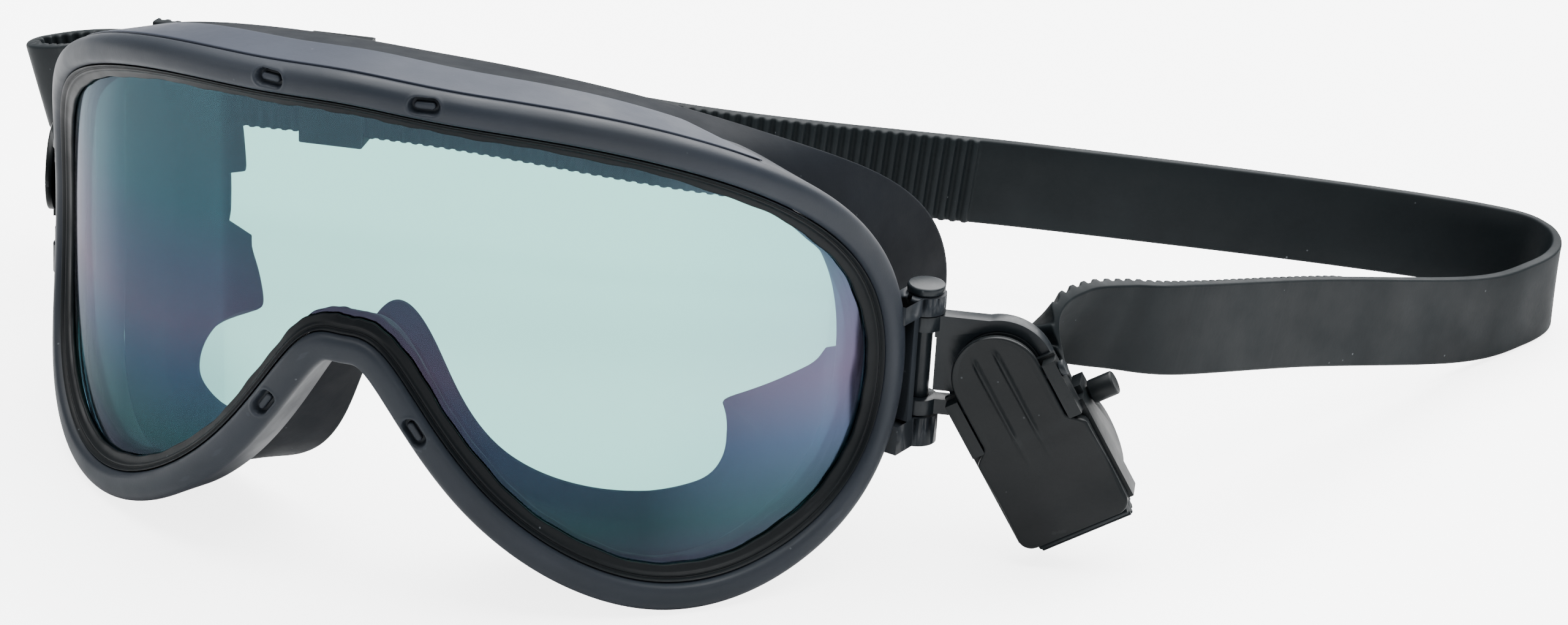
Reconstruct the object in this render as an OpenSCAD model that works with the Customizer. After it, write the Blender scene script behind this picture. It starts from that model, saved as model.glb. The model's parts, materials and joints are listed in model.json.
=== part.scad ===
/* [Lens opening] */
// Radius of the curve that the front face wraps around
wrap_r = 80; // [78:1:84]
// Half outline of the lens opening, from the top centre round to the nose, as arc length and height
half_outline = [[0, 78.2], [14.5, 76.8], [40.5, 75], [74.5, 63], [96.5, 42], [95.5, 16],
                [78.5, 3], [52, -3.5], [22, 14], [7, 41], [0, 39]];

/* [Front frame] */
// Width of the frame's face below and beside the lens
band_low = 5; // [4.5:0.1:5.5]
// Width of the frame's face above the lens
band_top = 4.7; // [4.6:0.1:5.6]
// Depth of the frame behind its front face
frame_depth = 12; // [10:0.5:13]
// Thickness of the lens
lens_t = 2; // [1.5:0.1:2.4]
// Distance of the lens behind the frame's front face
lens_set = 3.7; // [3.5:0.1:4.5]
// Width of lens that the gasket's lips cover
lens_lap = 2.4; // [2:0.1:3]
// Half length of the brow cover along the wrap
brow_half = 66; // [60:1:72]

/* [Face skirt] */
// Wall of the rubber skirt
skirt_t = 2; // [1.5:0.1:2.5]
// Half outline of the skirt's edge on the face, as across, back and up, paired with the lens outline
half_face = [[0, 34, 75.6], [15, 34.5, 75.6], [38, 37.5, 73.2], [59, 49, 65.3], [71.5, 82, 48], [73, 94, 20],
             [60, 58, 0], [40, 38, -3.5], [13, 30, 2], [6, 25, 26], [0, 24, 33]];
// Width of the lip that turns in from the skirt's edge to lie on the face
lip_w = 6; // [4:0.5:7]
// Extra width of that lip at the temples
lip_temple = 9; // [3:0.5:10]

/* [Hinges] */
// Distance of each hinge pin from the middle
pin_x = 76; // [75.8:0.1:76.5]
// Distance of each hinge pin behind the front of the lens frame
pin_y = 60.5; // [60:0.1:61]
// Diameter of the hinge pin
pin_d = 3.2; // [3:0.1:3.6]
// Length from the pin to the middle of the link's ring
link_l = 12.9; // [12.8:0.1:15]
// Angle of the right link, swung out
link_angle_right = 12; // [5:1:50]
// Angle of the left link, folded back
link_angle_left = 70; // [50:1:70]

/* [Buckles] */
// Outside radius of the link's ring
ring_r = 9; // [8.8:0.1:9.4]
// Radius of the swivel hub in the ring
hub_r = 7; // [6.5:0.1:7]
// Width of the lever's lower plate
lever_w = 19.6; // [19:0.2:20]
// Distance from the swivel to the lever's lower edge
lever_l = 29; // [28:0.5:31]
// How far the right buckle hangs below the link's line, in degrees
tilt_right = 59; // [55:1:65]
// How far the left buckle stands above the link's line, in degrees
tilt_left = -3; // [-20:1:10]

/* [Strap] */
// Width of the strap
strap_w = 16; // [15:0.5:16.5]
// Thickness of the strap
strap_t = 2; // [1.6:0.1:2.2]
// Height of the ribs that the buckles grip
rib_h = 0.5; // [0.3:0.1:0.6]

/* [Hidden] */
$fn = 64;
stand = [-20.55, -102.73, 5.1];    // moves the object so that it stands on z = 0 over the origin
gap = 0.05;                // between pieces that are pressed or glued together
seal_gap = 0.12;           // between the gasket and the frame
bore_gap = 0.05;           // between a pin and its bore
ring_z = 27.4;
ring_bore_gap = 0.08;
// Lugs and knuckles along the hinge pin, as lowest and highest points
lug_z = [[13.6, 18.6], [36.4, 39.5]];
knuckle_z = [[18.9, 21.5], [33.5, 36.1]];
pin_top = 39.8;
lug_reach = 8;             // from the pin into the frame's side wall
clip_places = [[12.9, 79.6, 0], [-12.9, 79.6, 0], [12.9, 25.7, -55], [-12.9, 25.7, 55]];
// Middle line of the free strap, from the left buckle round to the right one
strap_route = [[-93.8, 104, 29.1], [-96.6, 109.3, 27.6], [-102.5, 112, 25], [-109.5, 114.5, 23.2],
               [-110.5, 120.5, 22.6], [-99, 125.6, 24.2], [-72, 124.6, 27], [-38, 128.5, 28], [12, 140, 24],
               [66, 162, 19.5], [112, 186, 13], [140, 201, 8], [150, 204, 5.5], [154.5, 199, 3.6],
               [152, 189, 3.2], [144, 172, 5], [124.5, 131, 16.5], [109.5, 97, 25.5], [101, 86.5, 28.6],
               [95, 80.5, 29.8], [90.8, 75.5, 29.3], [89.4, 71.9, 26.8], [90.4, 70.1, 22.9],
               [93.1, 70.7, 17.4]];
tail_route = [[-94, 129, 26], [-72, 127.9, 27.2], [-56, 128.9, 27.6], [-42, 130.7, 27.9]];
// The strap's edge leans out at the left bulge and turns with the right buckle
lean_left = [-0.32, 0, 1];
lean_right = [0.838, 0.178, 0.515];
keeper_at = [-57, 127.1, 27.7];
keeper_turn = 7;

// A point of the wrapped frame: arc length, height and distance in front of the face
function wrapped(s, z, out) = let(a = s * 180 / PI / wrap_r, r = wrap_r + out)
    [r * sin(a), wrap_r - r * cos(a), z];
closed_outline = concat(half_outline, [for (i = [len(half_outline) - 2 : -1 : 1])
    [-half_outline[i][0], half_outline[i][1]]]);
function at_index(list, i) = list[(i + len(list)) % len(list)];
// Uniform cubic B-spline through the outline's control points
function spline_at(list, i, t) = let(a = at_index(list, i - 1), b = at_index(list, i),
    c = at_index(list, i + 1), d = at_index(list, i + 2))
    (a * pow(1 - t, 3) + b * (3 * pow(t, 3) - 6 * t * t + 4)
    + c * (-3 * pow(t, 3) + 3 * t * t + 3 * t + 1) + d * pow(t, 3)) / 6;
steps = 6;
rim = [for (i = [0 : len(closed_outline) - 1]) for (k = [0 : steps - 1])
    spline_at(closed_outline, i, k / steps)];
n_rim = len(rim);
function unit(v) = v / norm(v);
function outward(i) = let(t = unit(at_index(rim, i + 1) - at_index(rim, i - 1))) [-t[1], t[0]];
// Width of the frame's band at an outline point, wider over the brow
function band(i) = band_low + (band_top - band_low) * min(1, max(0, (rim[i][1] - 45) / 20));
// A point set off from the lens opening: along its outward normal, then in front of the face
function off_rim(i, w, out) = let(p = rim[i] + outward(i) * w) wrapped(p[0], p[1], out);
face_outline = concat(half_face, [for (i = [len(half_face) - 2 : -1 : 1])
    [-half_face[i][0], half_face[i][1], half_face[i][2]]]);
face_edge = [for (i = [0 : len(face_outline) - 1]) for (k = [0 : steps - 1])
    spline_at(face_outline, i, k / steps)];
// A point inside the skirt's edge, towards the eye on its side, then moved back
function on_face(i, inward, back) = let(e = face_edge[i],
    aside = min(1, max(0, (abs(e[0]) - 45) / 15)),
    height = 36 + aside * (min(50, max(14, e[2])) - 36),
    eye = [min(38, max(-38, e[0])), e[1], height]) e + unit(eye - e) * inward + [0, back, 0];
function mix_points(a, b, t) = a + (b - a) * t;

// Joins rings of points into one closed body; open sweeps get end caps
module sweep(rings, closed) {
    n = len(rings);
    m = len(rings[0]);
    last = closed ? n - 1 : n - 2;
    faces = [for (i = [0 : last]) for (j = [0 : m - 1]) let(i2 = (i + 1) % n, j2 = (j + 1) % m)
        each [[i * m + j, i * m + j2, i2 * m + j2], [i * m + j, i2 * m + j2, i2 * m + j]]];
    caps = closed ? [] : [[for (j = [m - 1 : -1 : 0]) j], [for (j = [0 : m - 1]) (n - 1) * m + j]];
    polyhedron([for (r = rings) each r], concat(faces, caps));
}
// A ring round the whole lens opening; each profile point is offset width and height in front
module rim_ring(profile, scale_band = false)
    sweep([for (i = [0 : n_rim - 1]) [for (p = profile)
        off_rim(i, p[0] * (scale_band ? band(i) : 1), p[1])]], true);

module front_frame() {
    face = [[0, -1.2], [0.14, -0.2], [0.35, 0], [0.7, -0.1], [0.92, -1.1], [1, -2.7], [1, -2.9],
            [1, -frame_depth], [0, -frame_depth]];
    rings = [for (i = [0 : n_rim - 1]) [for (p = face)
        off_rim(i, p[0] * band(i) - (p[0] == 1 && p[1] < -2.8 ? seat(i) : 0), p[1])]];
    color([0.2, 0.22, 0.26]) difference() {
        sweep(rings, true);
        for (c = clip_places) clip_shape(c, 4.6, 2.2, -1, 3);
    }
}
// A round-ended bar set radially in the wrapped face
module clip_shape(c, length, width, out, depth) {
    a = c[0] * 180 / PI / wrap_r;
    translate([0, wrap_r, c[1]]) rotate([0, 0, a]) translate([0, -wrap_r - out, 0]) rotate([90, 0, 0])
        rotate([0, 0, c[2]]) for (k = [-1, 1]) hull() {
            translate([k * (length - width) / 2, 0, 0]) cylinder(d = width, h = depth, $fn = 24);
            cylinder(d = width, h = depth, $fn = 24);
        }
}
module lens_clips() color([0.14, 0.15, 0.17])
    for (c = clip_places) clip_shape(c, 4.2, 1.8, -0.95, 0.75);

// Stations along the brow, from left to right
brow_stations = [for (i = [n_rim - 60 : n_rim + 60]) let(k = i % n_rim)
    if (rim[k][1] > 50 && abs(rim[k][0]) < brow_half) k];
// The brow cover lies in a shallow seat, and is cut slanting at its two ends
cover_seat = 0.9;
cover_proud = 0.3;
cover_cut = 12;
function end_share(k) = min(1, max(0, (brow_half - abs(rim[k][0])) / cover_cut));
function seat(k) = rim[k][1] > 50 ? cover_seat * end_share(k) : 0;
// Profile points are a share of the cover's thickness and the distance in front of the face
module brow_ring(profile)
    sweep([for (k = brow_stations) let(e = end_share(k), low = band(k) - seat(k) + gap) [for (p = profile)
        off_rim(k, low + p[0] * (seat(k) + cover_proud - gap), max(p[1], -4.5 - (frame_depth - 3) * e))]], false);
module brow_cover() color([0.24, 0.25, 0.3])
    brow_ring([[0, -3.2], [0.7, -3], [1, -3.3], [1, -12.5], [0.5, -12.5], [0.5, -4.2], [0, -4.2]]);
module vent_filter() color([0.1, 0.1, 0.11])
    brow_ring([[0.06, -4.4], [0.4, -4.4], [0.4, -11], [0.06, -11]]);

module lens_gasket() color([0.09, 0.1, 0.12]) rim_ring([[-seal_gap, -1.4], [-0.8, -1.9], [-1, -2.4],
    [-lens_lap, -lens_set + 0.6], [-lens_lap, -lens_set + gap], [-0.9, -lens_set + gap],
    [-0.9, -lens_set - lens_t - gap], [-lens_lap, -lens_set - lens_t - gap],
    [-lens_lap, -lens_set - lens_t - 1.4], [-seal_gap, -lens_set - lens_t - 1.4]]);

// The lens is cut into columns that join the outline's upper half to its lower half
module lens() {
    rows = 6;
    half = n_rim / 2;
    front = -lens_set;
    back = -lens_set - lens_t;
    inset = -0.95;
    columns = [for (k = [-half / 2 : half / 2 - 1]) k];
    function edge(i) = let(j = (i + n_rim) % n_rim) rim[j] + outward(j) * inset;
    tip = round(half / 2);
    // Upper and lower points are paired by their share of the way from the middle to the tip
    pairs = [for (k = [-tip + 1 : tip - 1]) [edge(k), edge(half - k)]];
    function cell(p, r, out) = let(q = mix_points(p[0], p[1], r / rows)) wrapped(q[0], q[1], out);
    color([0.72, 0.83, 0.8, 0.5]) sweep([for (p = pairs) concat(
        [for (r = [0 : rows]) cell(p, r, front)], [for (r = [rows : -1 : 0]) cell(p, r, back)])], false);
}

module face_skirt() {
    root_in = 0.6;
    root_out = 0.6 + skirt_t;
    back = -frame_depth - gap;
    function station(i) = let(b0 = off_rim(i, root_in, back), b1 = off_rim(i, root_out, back),
        edge = on_face(i, 0, 0), turn = on_face(i, skirt_t, -skirt_t),
        lip = lip_w + lip_temple * pow(min(1, abs(edge[0]) / 70), 4),
        lip_front = on_face(i, lip, -0.6), lip_back = on_face(i, lip, 0.8))
        [b0, mix_points(b0, turn, 0.5), turn, lip_front, lip_back, edge, mix_points(b1, edge, 0.5), b1];
    color([0.19, 0.2, 0.22]) sweep([for (i = [0 : n_rim - 1]) [for (p = station(i)) p]], true);
}

// Puts right-hand pieces on either side of the goggles
module on_side(side) {
    if (side > 0) children();
    else mirror([1, 0, 0]) children();
}
module at_pin(side) on_side(side) translate([pin_x, pin_y, 0]) children();
module at_link(side) at_pin(side) rotate([0, 0, side > 0 ? link_angle_right : link_angle_left]) children();
module at_buckle(side) at_link(side) translate([link_l, 0, ring_z])
    rotate([0, side > 0 ? tilt_right : tilt_left, 0]) children();
// A bar across the buckle, along its width
module cross_bar(x, y, r, w0, w1) translate([x, y, w0]) cylinder(r = r, h = w1 - w0);
module block(x0, x1, y0, y1, z0, z1) translate([x0, y0, z0]) cube([x1 - x0, y1 - y0, z1 - z0]);

pin_bearing = atan2(pin_x, wrap_r - pin_y);
module hinge_bracket(side) color([0.16, 0.17, 0.19]) at_pin(side) difference() {
    union() {
        for (z = lug_z) {
            translate([0, 0, z[0]]) cylinder(d = 6.8, h = z[1] - z[0]);
            rotate([0, 0, pin_bearing - 90]) block(-3.4, 1.3, -lug_reach, 0, z[0], z[1]);
        }
        rotate([0, 0, pin_bearing - 90]) block(-3.4, 1.3, -5.1, -3.7, lug_z[0][0], lug_z[1][1]);
    }
    cylinder(r = pin_d / 2 + bore_gap, h = 60);
}
module hinge_pin(side) color([0.12, 0.12, 0.13]) at_pin(side) {
    translate([0, 0, lug_z[0][0] - 0.8]) cylinder(d = pin_d, h = pin_top - lug_z[0][0] + 0.8);
    translate([0, 0, pin_top - 0.2]) cylinder(d = 6.2, h = 1.4);
}

module link(side) color([0.13, 0.13, 0.15]) at_link(side) difference() {
    union() {
        for (z = knuckle_z) translate([0, 0, z[0]]) cylinder(d = 6.2, h = z[1] - z[0]);
        block(1, 13, -1.5, 1.5, knuckle_z[1][0] - 1.2, knuckle_z[1][1]);
        block(1, 8, -1.5, 1.5, knuckle_z[0][0], knuckle_z[0][1]);
        block(2.3, 8, -1.5, 1.5, knuckle_z[0][1] + 1.6, knuckle_z[1][0]);
        translate([link_l, 1.5, ring_z]) rotate([90, 0, 0]) cylinder(r = ring_r, h = 3);
    }
    cylinder(r = pin_d / 2 + bore_gap, h = 60);
    translate([0, 0, knuckle_z[0][1]]) cylinder(d = 5, h = knuckle_z[1][0] - knuckle_z[0][1]);
    translate([link_l, 2, ring_z]) rotate([90, 0, 0]) cylinder(r = hub_r + ring_bore_gap, h = 4);
}

lever_pin = [2.6, -4];
roller_axis = [10.9, 3.3];
module buckle_base(side) color([0.11, 0.11, 0.12]) at_buckle(side) difference() {
    union() {
        translate([0, 1.55, 0]) rotate([90, 0, 0]) cylinder(r = hub_r, h = 3.4);
        block(0, 11, -2.8, -1.8, -9.8, 9.8);
        for (w = [-9.8, 7.6]) block(0.6, 10.6, -5.2, -1.8, w, w + 2.2);
        for (w = [-10.4, 8.6]) {
            block(9.2, lever_l - 1, -2.6, 2.2, w, w + 1.8);
            block(7.8, 14, 0, 5.4, w, w + 1.8);
        }
        block(18, lever_l - 1, 0.2, 2.2, -9, 9);
        // Rounded hood that the strap runs behind
        intersection() {
            translate([17.5, 1.2, -10.4]) cylinder(r = 6.2, h = 20.8);
            block(13.9, 24, 1, 9, -10.4, 10.4);
        }
    }
    cross_bar(lever_pin[0], lever_pin[1], 0.8 + bore_gap, -20, 20);
    cross_bar(roller_axis[0], roller_axis[1], 1.1 + bore_gap, -20, 20);
    rotate([90, 0, 0]) cylinder(r = 1.5, h = 10, center = true);
}
module swivel_cap(side) color([0.15, 0.15, 0.16]) at_buckle(side) rotate([-90, 0, 0]) {
    translate([0, 0, 1.65]) cylinder(r = 8.4, h = 1.1);
    translate([0, 0, -1.7]) cylinder(r = 1.5 - gap, h = 3.6);
}
module lever(side) color([0.08, 0.08, 0.09]) at_buckle(side) difference() {
    union() {
        intersection() {
            translate([-0.4, -4.4, 0]) rotate([90, 0, 0]) cylinder(r = 7.3, h = 1);
            block(-8, 2, -7, 0, -7.2, 7.2);
        }
        block(-0.4, 11.4, -5.4, -4.4, -7.2, 7.2);
        block(1.2, 11.4, -5.4, -3, -7.2, 7.2);
        block(11, lever_l, -5, -2.9, -lever_w / 2, lever_w / 2);
        for (w = [-1.9, 1.9]) block(-4, 12, -5.9, -5.2, w - 0.5, w + 0.5);
        block(20, 21.2, -3, -2.45, -8, 8);
    }
    cross_bar(lever_pin[0], lever_pin[1], 0.8 + bore_gap, -20, 20);
}
module lever_pin(side) color([0.2, 0.2, 0.21]) at_buckle(side) {
    cross_bar(lever_pin[0], lever_pin[1], 0.8, -9.8, 10);
    cross_bar(lever_pin[0], lever_pin[1], 1.3, 9.85, 10.8);
}
module roller(side) color([0.1, 0.1, 0.11]) at_buckle(side) {
    cross_bar(roller_axis[0], roller_axis[1], 1.7, -8.5, 8.5);
    cross_bar(roller_axis[0], roller_axis[1], 1.1, -10.9, 11);
    cross_bar(roller_axis[0], roller_axis[1], 2, 10.7, 15);
}

// Catmull-Rom points through a hand-drawn route
function route_at(p, i, t) = let(n = len(p) - 1, a = p[max(i - 1, 0)], b = p[i], c = p[min(i + 1, n)],
    d = p[min(i + 2, n)]) (b * 2 + (c - a) * t + (a * 2 - b * 5 + c * 4 - d) * t * t
    + (b * 3 - a - c * 3 + d) * t * t * t) / 2;
function smooth_route(p, k) = [for (i = [0 : len(p) - 2]) for (j = [0 : k - 1]) route_at(p, i, j / k),
    p[len(p) - 1]];
// Shares of the two leans at a point of the strap, counted in route points from either end
function left_share(a) = max(0, 1 - pow((a - 3.5) / 3, 2));
function right_share(b) = min(1, max(0, (6 - b) / 3.5));
function edge_way(a, b) = [0, 0, 1] + left_share(a) * (lean_left - [0, 0, 1])
    + right_share(b) * (lean_right - [0, 0, 1]);
route_steps = 4;
// A flat band on edge along a route
module band_along(route, width, thick, twist = false) {
    p = smooth_route(route, route_steps);
    n = len(p);
    sweep([for (i = [0 : n - 1]) let(t = unit(p[min(i + 1, n - 1)] - p[max(i - 1, 0)]),
        way = twist ? edge_way(i / route_steps, (n - 1 - i) / route_steps) : [0, 0, 1],
        side = unit(cross(t, way)), up = cross(side, t)) [for (c = [[-1, -1], [-1, 1], [1, 1], [1, -1]])
            p[i] + side * c[0] * thick / 2 + up * c[1] * width / 2]], false);
}
module strap() color([0.13, 0.15, 0.16]) band_along(strap_route, strap_w, strap_t, true);
module strap_tail() color([0.13, 0.15, 0.16]) band_along(tail_route, strap_w, strap_t);
// The clamped end lies under the lever, folds round the base's lower edge and ends behind it
module strap_end(side) {
    fold = [lever_l - 0.8, 1.2];
    outer = 3.4;
    ends = [18.5, 24.4];           // of the layers in front of and behind the base
    rib_turn = 25;                 // from rib to rib round the fold
    // Each layer line joins a point on the outer face to the point below it on the inner face
    function layer(x, y) = [[x, fold[1] + y * outer], [x, fold[1] + y * (outer - strap_t)]];
    function turned(a, rise) = [for (r = [outer + rise, outer - strap_t]) fold + r * [cos(a), sin(a)]];
    lines = concat([layer(ends[0], -1), layer(fold[0], -1)],
        [for (k = [-3 : 3]) let(a = k * rib_turn)
            each [turned(a - 8, 0), turned(a - 6, rib_h), turned(a + 6, rib_h), turned(a + 8, 0)]],
        [layer(fold[0], 1), layer(ends[1], 1)]);
    half = strap_w / 2;
    color([0.13, 0.15, 0.16]) at_buckle(side) sweep([for (l = lines)
        [[l[0][0], l[0][1], -half], [l[0][0], l[0][1], half], [l[1][0], l[1][1], half], [l[1][0], l[1][1], -half]]], false);
}
module strap_keeper() color([0.1, 0.1, 0.11]) translate(keeper_at) rotate([0, -1, keeper_turn]) difference() {
    cube([12, 8.6, 18.8], center = true);
    cube([20, 7, 17.2], center = true);
}

translate(stand) {
    front_frame();
    brow_cover();
    vent_filter();
    lens();
    lens_gasket();
    lens_clips();
    face_skirt();
    hinge_bracket(1);  // hinge_bracket_right
    hinge_bracket(-1);  // hinge_bracket_left
    hinge_pin(1);  // hinge_pin_right
    hinge_pin(-1);  // hinge_pin_left
    link(1);  // link_right
    link(-1);  // link_left
    buckle_base(1);  // buckle_base_right
    buckle_base(-1);  // buckle_base_left
    swivel_cap(1);  // swivel_cap_right
    swivel_cap(-1);  // swivel_cap_left
    lever(1);  // lever_right
    lever(-1);  // lever_left
    lever_pin(1);  // lever_pin_right
    lever_pin(-1);  // lever_pin_left
    roller(1);  // roller_right
    roller(-1);  // roller_left
    strap();
    strap_end(1);  // strap_end_right
    strap_end(-1);  // strap_end_left
    strap_tail();
    strap_keeper();
}
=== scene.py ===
# %% [markdown]
# # Wrap-around goggles
# A pair of protective goggles: one curved lens held in a moulded frame, a soft rubber skirt that
# seals on the face, a hinge and a swivelling buckle at each side, and a ribbed rubber head strap.
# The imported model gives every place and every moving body. This script makes each piece again with
# smooth surfaces, or softens a copy of it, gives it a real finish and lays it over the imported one.

import json
import math

import bmesh
import bpy
import numpy as np
from mathutils import Matrix


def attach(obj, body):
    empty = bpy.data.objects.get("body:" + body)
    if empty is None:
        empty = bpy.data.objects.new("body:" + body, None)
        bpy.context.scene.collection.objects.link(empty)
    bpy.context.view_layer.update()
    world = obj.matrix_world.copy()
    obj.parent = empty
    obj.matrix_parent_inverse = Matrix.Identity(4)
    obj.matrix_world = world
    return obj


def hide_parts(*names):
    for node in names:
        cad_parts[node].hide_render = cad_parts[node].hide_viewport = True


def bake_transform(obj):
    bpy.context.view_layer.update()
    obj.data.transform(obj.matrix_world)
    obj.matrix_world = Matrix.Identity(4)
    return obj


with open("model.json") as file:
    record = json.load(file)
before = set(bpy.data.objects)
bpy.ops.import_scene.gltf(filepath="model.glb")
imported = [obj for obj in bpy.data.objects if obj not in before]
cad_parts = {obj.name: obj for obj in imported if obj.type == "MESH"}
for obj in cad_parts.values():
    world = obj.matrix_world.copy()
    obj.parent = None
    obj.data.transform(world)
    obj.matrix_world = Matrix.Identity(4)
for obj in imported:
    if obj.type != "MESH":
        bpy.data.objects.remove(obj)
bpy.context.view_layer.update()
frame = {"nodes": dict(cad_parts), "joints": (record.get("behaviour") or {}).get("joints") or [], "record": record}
joints = {joint["name"]: joint for joint in frame["joints"]}

# %% [markdown]
# ## One frame for all the pieces
# The goggles are easiest to think about with the front of the lens frame at y = 0 and the middle
# of the nose at x = 0, in millimetres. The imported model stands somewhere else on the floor, so the
# two hinge pins tell where that middle is.

# %% The goggles' own frame
MM = 0.001
PIN_X, PIN_Y, RING_Z = 76.0, 60.5, 27.4
pin_right = np.array(joints["link_swing_right"]["pos_m"]) / MM
pin_left = np.array(joints["link_swing_left"]["pos_m"]) / MM
middle = np.array([(pin_right[0] + pin_left[0]) / 2, pin_right[1] - PIN_Y, pin_right[2] - RING_Z])
print("middle of the goggles, mm:", middle.round(2))


def unit(v):
    """Each vector of the last axis divided by its own length."""
    return v / np.maximum(np.linalg.norm(v, axis=-1, keepdims=True), 1e-9)


# %% [markdown]
# ## Turning arrays into meshes
# Nearly every piece here is a grid of points: rings of one outline carried along another line. One
# helper joins neighbouring points into four-sided faces. A closed shape has its volume measured
# by the sum of signed pyramids over its faces; if that comes out negative the faces look inwards,
# and their order is turned round.

# %% Grid meshes
def mesh_piece(name, points, faces, smooth=True, moved=True):
    """An object from points in the goggles' frame (mm) and faces; place and scale go in the mesh."""
    points = np.asarray(points, float).reshape(-1, 3) + (middle if moved else 0)
    mesh = bpy.data.meshes.new(name)
    mesh.from_pydata((points * MM).tolist(), [], [list(map(int, f)) for f in faces])
    mesh.validate()
    mesh.polygons.foreach_set("use_smooth", np.full(len(mesh.polygons), smooth))
    piece = bpy.data.objects.new(name, mesh)
    bpy.context.scene.collection.objects.link(piece)
    return piece


def grid_faces(rows, columns, loop_rows, loop_columns):
    """Quads over a grid; a looped direction joins its last line of points to its first."""
    r = np.arange(rows if loop_rows else rows - 1)
    c = np.arange(columns if loop_columns else columns - 1)
    i, j = np.meshgrid(r, c, indexing="ij")
    i2, j2 = (i + 1) % rows, (j + 1) % columns
    corners = (i * columns + j, i * columns + j2, i2 * columns + j2, i2 * columns + j)
    return np.stack(corners, -1).reshape(-1, 4)


def signed_volume(points, faces):
    """Six times the volume: the sum over triangle fans of a . (b x c)."""
    total = 0.0
    for size in {len(f) for f in faces}:
        f = np.array([g for g in faces if len(g) == size])
        for k in range(1, size - 1):
            a, b, c = points[f[:, 0]], points[f[:, k]], points[f[:, k + 1]]
            total += np.einsum("ij,ij->", a, np.cross(b, c))
    return total


def facing_out(points, faces):
    """The same faces, each turned round if together they look inwards."""
    inwards = signed_volume(points - points.mean(0), faces) < 0
    return [f[::-1] for f in faces] if inwards else faces


def tube_faces(rows, columns, closed):
    """Faces that join closed outlines in order; an open tube gets a flat face at each end."""
    faces = [tuple(f) for f in grid_faces(rows, columns, closed, True)]
    if not closed:
        faces.append(tuple(range(columns - 1, -1, -1)))
        faces.append(tuple((rows - 1) * columns + k for k in range(columns)))
    return faces


def swept(name, rings, closed=True):
    """A piece from rings of points, each a closed outline, joined in order."""
    rings = np.asarray(rings, float)
    points = rings.reshape(-1, 3)
    return mesh_piece(name, points, facing_out(points, tube_faces(*rings.shape[:2], closed)))


def spline(points, t, closed=True):
    """Uniform cubic B-spline over control points at parameters t, one unit per point."""
    points = np.asarray(points, float)
    i = np.floor(t).astype(int)
    f = (t - i)[:, None]
    n = len(points)
    pick = (lambda k: points[k % n]) if closed else (lambda k: points[np.clip(k, 0, n - 1)])
    a, b, c, d = pick(i - 1), pick(i), pick(i + 1), pick(i + 2)
    return (a * (1 - f) ** 3 + b * (3 * f ** 3 - 6 * f ** 2 + 4)
            + c * (-3 * f ** 3 + 3 * f ** 2 + 3 * f + 1) + d * f ** 3) / 6


def smooth_step(v, low, high):
    """Nothing below low, one above high, and 3t^2 - 2t^3 between them."""
    t = np.clip((v - low) / (high - low), 0, 1)
    return t * t * (3 - 2 * t)


def rounded(outline, per_point=5):
    """A closed outline softened by the spline; a point written twice makes a tighter corner."""
    outline = np.asarray(outline, float)
    return spline(outline, np.arange(len(outline) * per_point) / per_point)


# %% [markdown]
# ## The camera, the floor and the light
# The camera stands well back with a long lens, a little above the goggles and to their left, so
# that the wrap of the lens and the strap behind both show. A large pale floor and broad soft
# lights give the even light of a light tent, where dark rubber shows its shape by soft highlights.
# The floor also glows, for the camera's rays alone: it looks white, and the glow lights nothing.

# %% Camera
camera_at = np.array([276.28, -627.88, 340.33])
camera_aim = np.array([62.70, 28.54, 45.43])
CAMERA_ROLL = math.radians(3.66)
FOCAL_MM = 111.3


def camera_axes(azimuth, elevation, roll):
    """Right, up and backward of a camera turned by azimuth and elevation, then rolled."""
    sa, ca, se, ce = math.sin(azimuth), math.cos(azimuth), math.sin(elevation), math.cos(elevation)
    back = np.array([sa * ce, -ca * ce, se])
    right = np.array([ca, sa, 0.0])
    up = np.cross(back, right)
    return (math.cos(roll) * right + math.sin(roll) * up,
            math.cos(roll) * up - math.sin(roll) * right, back)


away = unit(camera_at - camera_aim)
azimuth, elevation = math.atan2(away[0], -away[1]), math.asin(away[2])
right, up, back = camera_axes(azimuth, elevation, CAMERA_ROLL)
lens_data = bpy.data.cameras.new("camera")
lens_data.lens, lens_data.sensor_width = FOCAL_MM, 36.0
lens_data.clip_start, lens_data.clip_end = 0.05, 20.0
camera = bpy.data.objects.new("camera", lens_data)
bpy.context.scene.collection.objects.link(camera)
turn = Matrix([[right[k], up[k], back[k]] for k in range(3)]).to_4x4()
camera.matrix_world = Matrix.Translation(((camera_at + middle) * MM).tolist()) @ turn
bpy.context.scene.camera = camera
print("camera azimuth and elevation:", round(math.degrees(azimuth), 1), round(math.degrees(elevation), 1))

# %% Floor and lights
floor = mesh_piece("floor", np.array([[-4000, -4000, 0], [4000, -4000, 0], [4000, 4000, 0],
                                      [-4000, 4000, 0]]), [(0, 1, 2, 3)], moved=False)
FLOOR_GLOW = 4.0
FLOOR_SHADE = (0.93, 0.93, 0.93)


def plain_material(name, color, roughness):
    """A Principled material with one colour."""
    m = bpy.data.materials.new(name)
    m.use_nodes = True
    shader = m.node_tree.nodes["Principled BSDF"]
    shader.inputs["Base Color"].default_value = (*color, 1)
    shader.inputs["Roughness"].default_value = roughness
    return m


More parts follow.
